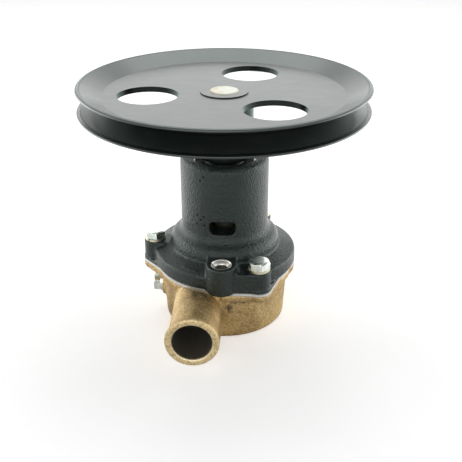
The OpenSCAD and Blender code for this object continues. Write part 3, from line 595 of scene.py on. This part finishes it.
WASHER_ZINC = clouded("yellowish zinc plate", 340.0, rgb(0.50, 0.46, 0.32), rgb(0.76, 0.73, 0.58), (0.35, 0.65),
                      detail=4.0, rough=0.6, relief=(0.3, 0.05), Metallic=1.0, Roughness=0.38)
THREAD_STEEL = clouded("bright cut thread", 420.0, rgb(0.50, 0.50, 0.46), rgb(0.80, 0.80, 0.74),
                       gloss=(0.22, 0.4), Metallic=1.0)
FIBRE = clouded("white fibre sheet", 500.0, rgb(0.66, 0.68, 0.64), rgb(0.86, 0.87, 0.84), (0.3, 0.7),
                detail=4.0, rough=0.7, stretch=(1, 1, 5), relief=(0.3, 0.05), Roughness=0.75)
STAINLESS = clouded("rolled stainless sheet", 120.0, rgb(0.62, 0.63, 0.62), rgb(0.82, 0.83, 0.82),
                    stretch=(1, 14, 14), gloss=(0.24, 0.4), Metallic=1.0)
GROUND_STEEL = clouded("ground bearing steel", 400.0, rgb(0.55, 0.56, 0.57), rgb(0.72, 0.73, 0.74),
                       gloss=(0.15, 0.28), Metallic=1.0)
SPRING_STEEL = clouded("blackened spring steel", 300.0, rgb(0.03, 0.032, 0.035), rgb(0.10, 0.10, 0.10),
                       gloss=(0.3, 0.5), Metallic=0.8)
BRASS = clouded("machined brass", 200.0, rgb(0.62, 0.45, 0.17), rgb(0.80, 0.62, 0.28), detail=4.0,
                gloss=(0.22, 0.38), Metallic=1.0)
RUBBER = clouded("moulded rubber", 350.0, rgb(0.012, 0.012, 0.013), rgb(0.03, 0.03, 0.031), detail=4.0,
                 relief=(0.3, 0.06), Roughness=0.6)
print(len(bpy.data.materials), "materials so far")

# %% [markdown]
# ## Finishes on the CAD nodes
# The record gives each node a material slot. Every node takes the finish of its slot here, also the ones that a
# finer piece replaces later, so that nothing is ever left without one.

# %% Finishes by slot
FINISH_OF_SLOT = {
    "bronze_casting": BRONZE, "black_casting": PAINTED_IRON, "black_sheet": PAINTED_SHEET, "zinc_steel": ZINC,
    "shaft_steel": SHAFT_STEEL, "bearing_steel": GROUND_STEEL, "dark_steel": SPRING_STEEL,
    "stainless_sheet": STAINLESS, "gasket_sheet": FIBRE, "black_rubber": RUBBER, "brass": BRASS,
}


def dress(mesh, material):
    """Leave a mesh with one material."""
    mesh.materials.clear()
    mesh.materials.append(material)


for part in frame["record"]["subparts"]:
    dress(NODES[part["node"]].data, FINISH_OF_SLOT[part["material_slot"]])


# %% [markdown]
# ## Castings with soft corners
# A sand casting has no sharp corner: its fillets and outside edges are all rounded. The CAD solids are exact and
# sharp. Bevelling them would mean picking hundreds of edges, so each casting is copied, its loose triangles are
# merged, and a fine voxel remesh with a little smoothing rounds every corner by about half a millimetre.

# %% A copy with rounded corners
MERGE_DISTANCE = 0.002


def softened(node, name, voxel_mm, rounds):
    """A copy of a CAD node as one smooth skin with rounded corners."""
    mesh = NODES[node].data.copy()
    with edited(mesh) as work:
        bmesh.ops.remove_doubles(work, verts=work.verts, dist=MERGE_DISTANCE * MM)
    host = in_scene(name + "_host", mesh)
    skin = host.modifiers.new("skin", "REMESH")
    skin.mode = "VOXEL"
    skin.voxel_size = voxel_mm * MM
    skin.use_smooth_shade = True
    soften = host.modifiers.new("soften", "SMOOTH")
    soften.factor = 0.5
    soften.iterations = rounds
    return plain_mesh(host, name)


print("corners are rounded after merging points within", MERGE_DISTANCE, "mm")

# %% [markdown]
# ## The low pad on the pedestal's flange
# The flange carries a small raised pad, left bare here. It is only half a millimetre high, so the fine mesh of
# the casting can simply be lifted there, with a slope one millimetre wide round it. That keeps one closed skin.

# %% Pedestal casting with its pad
PAD_AT_MM, PAD_TURN = (-20.6, -38.2, 51.3), -28.0
PAD_LENGTH, PAD_WIDTH, PAD_RISE, PAD_SLOPE = 10.5, 5.0, 0.5, 1.0


def lift_pad(mesh):
    """Lift the flange's top into the pad, by moving its points."""
    cos, sin = math.cos(math.radians(PAD_TURN)), math.sin(math.radians(PAD_TURN))
    for vertex in mesh.vertices:
        x, y, z = vertex.co / MM
        along = (x - PAD_AT_MM[0]) * cos + (y - PAD_AT_MM[1]) * sin
        across = (y - PAD_AT_MM[1]) * cos - (x - PAD_AT_MM[0]) * sin
        off = max(abs(along) - PAD_LENGTH / 2, abs(across) - PAD_WIDTH / 2)
        if off < PAD_SLOPE and abs(z - PAD_AT_MM[2]) < 1.0:
            vertex.co.z += PAD_RISE * MM * min(1.0, PAD_SLOPE - off)


pedestal = new_piece("pedestal_casting", softened("bearing_pedestal", "pedestal_casting", voxel_mm=0.75, rounds=4),
                     "housing")
lift_pad(pedestal.data)
dress(pedestal.data, PAINTED_IRON)
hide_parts("bearing_pedestal")
print(pedestal.name, len(pedestal.data.polygons), "faces")

# %% [markdown]
# ## The bronze body
# The cup, its flange, the two hose tubes with their beads and the pad of the cam screw are one casting. It is
# softened in the same way, with voxels a little larger because its surfaces are larger and plainer.

# %% Body casting
body = new_piece("body_casting", softened("pump_body", "body_casting", voxel_mm=0.8, rounds=4),
                 "housing")
dress(body.data, BRONZE)
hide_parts("pump_body")
print(body.name, len(body.data.polygons), "faces")

# %% [markdown]
# ## Turned and pressed pieces from one rule
# The pulley sheets, the spring washers and the lining of the mounting threads are all one section carried round
# an axis. The tree takes the section's points as a mesh, lays out a grid of points along the section by points
# round the axis, and puts each one at its angle and, for a spring washer, at its rise. A spin in the mesh editor
# would do the same once; the rule can be turned again with other sizes.

# %% The turning rule
turning = Rule("turned section", {
    "Section Points": ("Int", 8), "Segments": ("Int", 96), "Start Angle": ("Float", 0.0),
    "Sweep": ("Float", 2 * math.pi), "Rise": ("Float", 0.0)})
columns = turning.math("ADD", turning.size["Section Points"], 1)
rows = turning.math("ADD", turning.size["Segments"], 1)
grid = turning.shape("MeshGrid", {"Size X": 1.0, "Size Y": 1.0, "Vertices X": columns, "Vertices Y": rows})
index = turning.shape("InputIndex")
along = turning.math("FLOOR", turning.math("DIVIDE", turning.math("ADD", index, 0.5), rows))
around = turning.math("DIVIDE", turning.math("MODULO", index, rows), turning.size["Segments"])
point = turning.shape("SampleIndex", {
    "Geometry": turning.size["Geometry"], "Value": turning.shape("InputPosition"),
    "Index": turning.math("MODULO", along, turning.size["Section Points"])},
    data_type="FLOAT_VECTOR", domain="POINT")
at = turning.xyz(point)
angle = turning.math("ADD", turning.size["Start Angle"], turning.times(around, turning.size["Sweep"]))
spot = turning.vector(x=turning.times(at["X"], turning.math("COSINE", angle)),
                      y=turning.times(at["X"], turning.math("SINE", angle)),
                      z=turning.math("ADD", at["Z"], turning.times(around, turning.size["Rise"])))
placed = turning.shape("SetPosition", {"Geometry": grid, "Position": spot})
turning.close(turning.shape("MergeByDistance", {"Geometry": placed, "Distance": 0.001 * MM}))
print(turning.tree.name, "has", len(turning.tree.nodes), "nodes")


# %% [markdown]
# ## Using the rule
# A section is drawn counter-clockwise as radius and height, in millimetres. A ring that isn't closed, such as a
# split washer, gets its two end faces filled, and the normals are worked out again because a turned section can
# come out inside out.

# %% Helpers for turned pieces
def turned(name, section_mm, material, segments, start=0.0, sweep=360.0, rise_mm=0.0):
    """A section of (radius, height) points in mm, counter-clockwise, carried round the Z axis."""
    points = bpy.data.meshes.new(name + "_section")
    points.from_pydata([(r * MM, 0, z * MM) for r, z in section_mm], [], [])
    mesh = turning.run(points, name, Section_Points=len(section_mm), Segments=segments, Finish=material,
                       Start_Angle=math.radians(start), Sweep=math.radians(sweep), Rise=rise_mm * MM)
    with edited(mesh) as work:
        if sweep < 360:
            bmesh.ops.holes_fill(work, edges=work.edges, sides=0)
        bmesh.ops.recalc_face_normals(work, faces=work.faces)
    return mesh


def joined(name, meshes):
    """Several meshes as one, with the finish of the first."""
    out = bpy.data.meshes.new(name)
    with edited(out) as work:
        for mesh in meshes:
            work.from_mesh(mesh)
    for material in meshes[0].materials:
        out.materials.append(material)
    return out


def moved(mesh, x, y, z):
    """The mesh moved by mm."""
    mesh.transform(Matrix.Translation(Vector((x, y, z)) * MM))
    return mesh


def on_bolt_circle(mesh, degrees):
    """The mesh moved to its seat on the bolt circle."""
    angle = math.radians(degrees)
    return moved(mesh, BOLT_CIRCLE_R * math.cos(angle), BOLT_CIRCLE_R * math.sin(angle), BOLT_SEAT_Z)


def arc(cx, cy, r, start, end, steps):
    """Points of an arc between two angles in degrees."""
    angles = [math.radians(start + (end - start) * i / steps) for i in range(steps + 1)]
    return [(cx + r * math.cos(a), cy + r * math.sin(a)) for a in angles]


# %% [markdown]
# ## Punched holes
# Each pressed sheet has three big round holes that save weight. They are cut by a small rule: rods on a circle,
# taken away from the sheet by a Boolean. Cutting the finished sheet keeps its section simple.

# %% The punching rule
HOLE_R, HOLE_CIRCLE_R, ROD_L = 20, 49.5, 60
punching = Rule("punched holes", {"Count": ("Int", 3), "Circle Radius": ("Float", HOLE_CIRCLE_R * MM),
                                  "Hole Radius": ("Float", HOLE_R * MM), "Turn": ("Float", 0.0)})
ring = punching.shape("MeshCircle", {"Vertices": punching.size["Count"], "Radius": punching.size["Circle Radius"]})
rod = punching.shape("MeshCylinder", {"Vertices": 128, "Radius": punching.size["Hole Radius"], "Depth": ROD_L * MM})
rods = punching.shape("InstanceOnPoints", {"Points": ring, "Instance": rod})
rods = punching.shape("RealizeInstances", {"Geometry": rods})
rods = punching.shape("Transform", {"Geometry": rods, "Rotation": punching.vector(z=punching.size["Turn"])})
cut = {"Mesh 1": punching.size["Geometry"], "Mesh 2": rods}
punching.close(punching.shape("MeshBoolean", cut, operation="DIFFERENCE"))
print(punching.tree.name, "has", len(punching.tree.nodes), "nodes")

# %% [markdown]
# ## The section of a pulley sheet
# A pressed sheet keeps its thickness through every bend. From the hub outwards it has a flat web, a bend, the
# slanting wall that the belt runs on, and a narrow lip rolled over at its edge, with a fine crease inside it. The
# two faces of a bend share one centre, so the inner radius and the thickness give the outer one.

# %% Sheet section
SHEET_T, HUB_HOLE_R, WEB_R, RIM_R, LIP_W, WALL_TOP = 1.8, 15.72, 79.0, 95.0, 2.4, 8.6
BEND_IN, BEND_OUT, BEND_STEPS = 2.0, 2.0 + SHEET_T, 8
EDGE_R, ROLL_W, ROLL_H = 0.45, 1.9, 1.2
CREASE_DEPTH = 0.3


def sheet_section():
    """The upper sheet's section, measured from the seam, counter-clockwise."""
    slope = math.degrees(math.atan((WALL_TOP - SHEET_T) / (RIM_R - LIP_W - WEB_R)))
    half = math.tan(math.radians(slope / 2))
    miter = SHEET_T / 2 * half
    lip_r, lip_z = RIM_R - LIP_W, WALL_TOP - SHEET_T
    under_web = arc(WEB_R + miter - BEND_OUT * half, BEND_OUT, BEND_OUT, -90, slope - 90, BEND_STEPS)
    under_lip = arc(lip_r + miter + BEND_IN * half, lip_z - BEND_IN, BEND_IN, 90 + slope, 90, BEND_STEPS)
    edge = arc(RIM_R - EDGE_R, lip_z + EDGE_R, EDGE_R, -90, 0, 3)
    roll = [(RIM_R - ROLL_W + ROLL_W * math.cos(a), WALL_TOP - ROLL_H + ROLL_H * math.sin(a))
            for a in (0, 0.4, 0.8, 1.2, 1.571)]
    crease = [(92.7, WALL_TOP), (92.5, WALL_TOP - CREASE_DEPTH), (92.3, WALL_TOP - CREASE_DEPTH)]
    over_lip = arc(lip_r - miter + BEND_OUT * half, WALL_TOP - BEND_OUT, BEND_OUT, 90, 90 + slope, BEND_STEPS)
    over_web = arc(WEB_R - miter - BEND_IN * half, SHEET_T + BEND_IN, BEND_IN, slope - 90, -90, BEND_STEPS)
    return ([(HUB_HOLE_R, 0.0)] + under_web + under_lip + edge + roll + crease + over_lip + over_web
            + [(HUB_HOLE_R, SHEET_T)])


print("the section has", len(sheet_section()), "points")

# %% [markdown]
# ## V pulley
# Two equal sheets stand back to back, and the belt runs in the V between their walls. The lower one is the same
# section turned upside down. Each is carried round in 256 steps, which keeps the big rim smooth, and is brought
# down to the origin for the punching, where the rods stand.

# %% Pulley sheets
RIM_STEPS, HOLE_TURN = 256, 71.5
for node, up in (("pulley_upper_sheet", 1), ("pulley_lower_sheet", -1)):
    section = [(r, SEAM_Z + up * z) for r, z in sheet_section()]
    blank = turned(node, section, PAINTED_SHEET, segments=RIM_STEPS)
    blank.transform(Matrix.Translation((0, 0, -SEAM_Z * MM)))
    sheet = punching.run(blank, node + "_punched", Turn=math.radians(HOLE_TURN), Finish=PAINTED_SHEET)
    sheet.transform(Matrix.Translation((0, 0, SEAM_Z * MM)))
    smooth_by_angle(sheet, degrees=35)
    dress(sheet, PAINTED_SHEET)
    piece = new_piece(node + "_pressed", sheet, "rotor")
    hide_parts(node)
    print(piece.name, len(sheet.polygons), "faces")

# %% [markdown]
# ## Hexagon bolt heads
# Real heads have a cone turned over their corners, so each side face ends in an arc. A prism of six sides is cut
# down to a turned blank with that cone, and the head is put on the three points of the bolt circle, each one
# turned the same way from the shaft. Modelling the arcs by hand would be slow and never quite true.

# %% The bolting rule
HEAD_CORNER_R, PRISM_L = 7.506, 40
bolting = Rule("hexagon bolts", {
    "Head Radius": ("Float", HEAD_CORNER_R * MM), "Count": ("Int", 3), "Circle Radius": ("Float", BOLT_CIRCLE_R * MM),
    "First Turn": ("Float", math.pi), "Head Turn": ("Float", 0.0), "Seat Height": ("Float", 0.0)})
prism = bolting.shape("MeshCylinder", {"Vertices": 6, "Radius": bolting.size["Head Radius"], "Depth": PRISM_L * MM})
common = bolting.add("GeometryNodeMeshBoolean", operation="INTERSECT")
for solid in (bolting.size["Geometry"], prism):
    bolting.fill(common.inputs[1], solid)
head = bolting.shape("Transform", {"Geometry": common.outputs[0],
                                   "Rotation": bolting.vector(z=bolting.size["Head Turn"])})
ring = bolting.shape("MeshCircle", {"Vertices": bolting.size["Count"], "Radius": bolting.size["Circle Radius"]})
spot = bolting.xyz(bolting.shape("InputPosition"))
facing = bolting.vector(z=bolting.math("ARCTAN2", spot["Y"], spot["X"]))
heads = bolting.shape("InstanceOnPoints", {"Points": ring, "Instance": head, "Rotation": facing})
bolting.close(bolting.shape("Transform", {
    "Geometry": heads, "Rotation": bolting.vector(z=bolting.size["First Turn"]),
    "Translation": bolting.vector(z=bolting.size["Seat Height"])}))
print(bolting.tree.name, "has", len(bolting.tree.nodes), "nodes")

# %% [markdown]
# ## The flange bolts
# Three bolts hold the pedestal and the body together. The head's blank is a flat top with a shallow cone down to
# the corners. The shanks are turned by the turning rule, with thread ridges near the tips, where they would
# show if the pump were taken apart.

# %% Flange bolts
HEAD_BLANK = [(0.0, 0.0), (7.9, 0.0), (7.9, 3.4), (6.9, 4.35), (6.1, 4.85), (5.6, 4.98), (3.0, 5.0), (0.0, 5.0)]
SHANK_L, RIDGES, THREAD_PITCH, CREST_R, ROOT_R, TIP_R = 25.0, 9, 1.25, 3.97, 3.4, 3.3
TIP_CHAMFER, UNDER_HEAD, HEAD_TURN = 0.6, 0.02, -15


def shank():
    """Half outline of a shank under the head with thread ridges near its tip."""
    outline = [(0.0, -SHANK_L), (TIP_R, -SHANK_L)]
    z = -SHANK_L + TIP_CHAMFER
    for _ in range(RIDGES):
        outline += [(CREST_R, z), (CREST_R, z + 0.15), (ROOT_R, z + 0.62), (ROOT_R, z + 0.75)]
        z += THREAD_PITCH
    return outline + [(CREST_R, z), (CREST_R, UNDER_HEAD), (0.0, UNDER_HEAD)]


bolt_heads = bolting.run(turned("bolt_blank", HEAD_BLANK, ZINC, segments=72), "bolt_heads",
                         Head_Turn=math.radians(HEAD_TURN), Seat_Height=BOLT_SEAT_Z * MM, Finish=ZINC)
shanks = [on_bolt_circle(turned("shank", shank(), ZINC, segments=32), angle) for angle in BOLT_ANGLES]
bolt_mesh = joined("flange_bolts_made", [bolt_heads] + shanks)
smooth_by_angle(bolt_mesh, degrees=28)
bolts = new_piece("flange_bolts_made", bolt_mesh, "housing")
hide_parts("flange_bolts")
print(bolts.name, len(bolt_mesh.polygons), "faces")

# %% [markdown]
# ## Spring washers
# A split washer is a ring of square wire that stops just short of a full turn and rises a little, so that it
# springs. The turning rule does both with its sweep and its rise. The gap faces a different way under each bolt
# because the washers are never lined up in real life.

# %% Lock washers
WASHER_SECTION = [(4.2, -1.98), (7.05, -1.98), (7.2, -1.83), (7.2, -0.35), (7.05, -0.2), (4.2, -0.2)]
GAP_TURN, WASHER_SWEEP, WASHER_RISE = 62, 352, 0.18
washers = []
for angle in BOLT_ANGLES:
    washer = turned("washer", WASHER_SECTION, WASHER_ZINC, segments=60, start=angle + GAP_TURN, sweep=WASHER_SWEEP,
                    rise_mm=WASHER_RISE)
    washers.append(on_bolt_circle(washer, angle))
washer_mesh = joined("lock_washers_made", washers)
smooth_by_angle(washer_mesh, degrees=28)
lock = new_piece("lock_washers_made", washer_mesh, "housing")
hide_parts("lock_washers")
print(lock.name, len(washer_mesh.polygons), "faces")

# %% [markdown]
# ## Bare mouths of the mounting threads
# The countersink and the first turns of thread shine inside the painted boss. They are thin turned linings that
# lie just over the casting, so the paint's soft remeshed edge stays behind them. Ridges without a helix are
# enough at this size, and they close cleanly.

# %% Thread linings
LINING_TOP_Z, LINING_END_Z, LINING_PITCH = 57.0, 46, 1.5
outline = [(6.75, 59.42), (6.62, 59.52), (4.45, 57.3)]
z = LINING_TOP_Z
while z > LINING_END_Z:
    outline += [(4.12, z - 0.25), (4.12, z - 0.45), (4.5, z - 0.95), (4.5, z - 1.1)]
    z -= LINING_PITCH
outline += [(4.9, z), (6.9, 57.8)]
linings = [moved(turned("lining", outline[::-1], THREAD_STEEL, segments=64), 0, y, 0)
           for y in (-THREAD_Y, THREAD_Y)]
lining_mesh = joined("thread_linings", linings)
smooth_by_angle(lining_mesh, degrees=40)
new_piece("thread_linings", lining_mesh, "housing")
print("thread_linings", len(lining_mesh.polygons), "faces")

# %% [markdown]
# ## Camera
# The camera stands where the photograph's did, in front of the pump and above the pulley. Its place, tilt and
# lens were fitted to the outlines of the pulley, the column and the cup. Nothing is out of focus.

# %% Camera
CAMERA_AT_MM, CAMERA_TILT, CAMERA_PAN = (25.4, -478.7, 300.5), 63.444, 2.52
LENS_MM, SENSOR_MM = 59.13, 36.0
camera_data = bpy.data.cameras.new("camera")
camera_data.lens = LENS_MM
camera_data.sensor_width = SENSOR_MM
camera_data.clip_start, camera_data.clip_end = 0.01, 20.0
camera = in_scene("camera", camera_data)
camera.location = [v * MM for v in CAMERA_AT_MM]
camera.rotation_euler = (math.radians(CAMERA_TILT), 0.0, math.radians(CAMERA_PAN))
bpy.context.scene.camera = camera
print("camera at", CAMERA_AT_MM, "mm with a", LENS_MM, "mm lens")

# %% [markdown]
# ## Floor
# A pale floor takes the pump's soft shadow. For the camera it gets a little light of its own, which lifts it to
# white while the shadow stays. For glossy rays it glows with a painted reflection of its own: weak in front of the
# pump, weaker still as a painted shadow close to it, where the pump shades the floor, and strong behind. So the
# paint keeps its dark tones.

# %% Floor
FLOOR_HALF_M, FLOOR_GREY, CAMERA_GLOW = 4.0, 0.80, 0.55
FRONT_Y, BACK_Y, SHADED_R, CLEAR_R = -220, 60, 70, 190
floor_mesh = bpy.data.meshes.new("floor")
with edited(floor_mesh) as work:
    bmesh.ops.create_grid(work, x_segments=1, y_segments=1, size=FLOOR_HALF_M)
floor = in_scene("floor", floor_mesh)
white = bpy.data.materials.new("white floor")
white.use_nodes = True
white.node_tree.nodes.remove(white.node_tree.nodes["Principled BSDF"])
s = Shade(white.node_tree, ends=white.node_tree.nodes["Material Output"].inputs)
seen = s.add("ShaderNodeLightPath").outputs
diffuse = s.add("ShaderNodeBsdfDiffuse", {"Color": rgb(FLOOR_GREY, FLOOR_GREY, FLOOR_GREY)})
reach = s.add("ShaderNodeVectorMath", {0: s.place}, operation="LENGTH").outputs["Value"]
front_to_back = s.span(s.at["Y"], FRONT_Y * MM, BACK_Y * MM, 0.2, 1.3)
away_from_pump = s.span(reach, SHADED_R * MM, CLEAR_R * MM, 0.15, 1.0)
# Painted reflection: the floor glows for glossy rays only, with a painted shadow near the pump.
mirrored = s.times(s.times(seen["Is Glossy Ray"], front_to_back), away_from_pump)
veil = s.math("MAXIMUM", s.times(seen["Is Camera Ray"], CAMERA_GLOW), mirrored)
glow = s.add("ShaderNodeEmission", {"Color": rgb(1, 1, 1), "Strength": veil})
s.put("Surface", s.add("ShaderNodeAddShader", {0: diffuse.outputs[0], 1: glow.outputs[0]}).outputs[0])
dress(floor_mesh, white)
print("floor is", 2 * FLOOR_HALF_M, "m wide")

# %% [markdown]
# ## White room
# The background is plain white to the camera and in reflections, where a strength of 1 is white. It lights the
# pump itself only faintly, so the lamps decide how light and dark fall.

# %% Room
FAINT, WHITE = 0.05, 1.0
world = bpy.data.worlds.new("white room")
bpy.context.scene.world = world
world.use_nodes = True
back = world.node_tree.nodes["Background"]
back.inputs["Color"].default_value = rgb(1, 1, 1)
s = Shade(world.node_tree, ends=back.inputs)
seen = s.add("ShaderNodeLightPath").outputs
plain_white = s.math("MAXIMUM", s.math("MAXIMUM", seen["Is Camera Ray"], seen["Is Glossy Ray"]),
                     seen["Is Transmission Ray"])
s.put("Strength", s.span(plain_white, 0.0, 1.0, FAINT, WHITE))
print("room strength", FAINT, "for light and", WHITE, "for the eye")

# %% [markdown]
# ## Lamps
# Soft lamps all round give the even grey of the pulley, the bright flanks of the column and the long highlights
# on the bronze. Each is a large rectangle that looks at the pump. They are given by brightness, since a soft
# lamp's power grows with its area.

# %% Softboxes
LAMP_AIM_MM = (0, 0, 100)
SOFTBOXES = {  # place in mm, width and height in mm, brightness
    "overhead softbox": ((0, 480, 1050), (1100, 700), 2.6),
    "back softbox": ((0, 1700, 700), (1800, 900), 0.8),
    "front softbox": ((-150, -1150, 480), (1300, 500), 2.0),
    "left softbox": ((-1200, 450, 320), (1200, 620), 3.4),
    "right softbox": ((1200, 450, 320), (1200, 620), 3.6),
}
for name, (place_mm, size_mm, brightness) in SOFTBOXES.items():
    lamp = bpy.data.lights.new(name, "AREA")
    lamp.shape = "RECTANGLE"
    lamp.size, lamp.size_y = size_mm[0] * MM, size_mm[1] * MM
    lamp.energy = brightness * math.pi * lamp.size * lamp.size_y
    light = in_scene(name, lamp)
    light.location = Vector(place_mm) * MM
    light.rotation_euler = (Vector(LAMP_AIM_MM) * MM - light.location).to_track_quat("-Z", "Y").to_euler()
    print(name, round(lamp.energy, 1), "W")

# %% [markdown]
# ## Finish
# The Standard view shows colours about as they are written.

# %% View transform
bpy.context.scene.view_settings.view_transform = "Standard"
